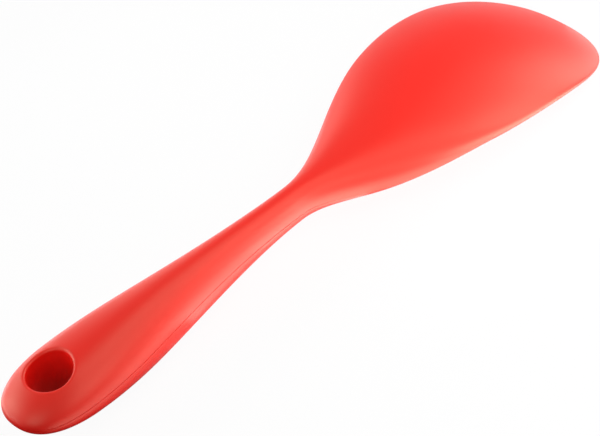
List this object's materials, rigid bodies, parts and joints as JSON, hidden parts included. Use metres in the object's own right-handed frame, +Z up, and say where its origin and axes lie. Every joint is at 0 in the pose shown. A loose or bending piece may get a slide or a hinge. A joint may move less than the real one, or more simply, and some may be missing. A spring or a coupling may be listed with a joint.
{
  "type": "rice paddle",
  "caption": "Silicone rice paddle with a broad domed blade, a slim neck and a rounded handle that tapers from a hang hole, moulded over a stiff inner core.",
  "frame": {"origin": "on the table the paddle lies on, under the middle of its length and width", "axes": "+X from the butt of the handle to the tip of the blade, +Y across the blade, +Z up from the table, out of the convex back of the blade"},
  "size_m": [0.25, 0.0712, 0.0235],
  "materials": {
    "silicone": "satin red silicone",
    "core": "natural moulded nylon"
  },
  "bodies": {
    "root": {"silicone_upper_half": "silicone", "silicone_lower_half": "silicone", "nylon_core": "core"}
  },
  "joints": []
}
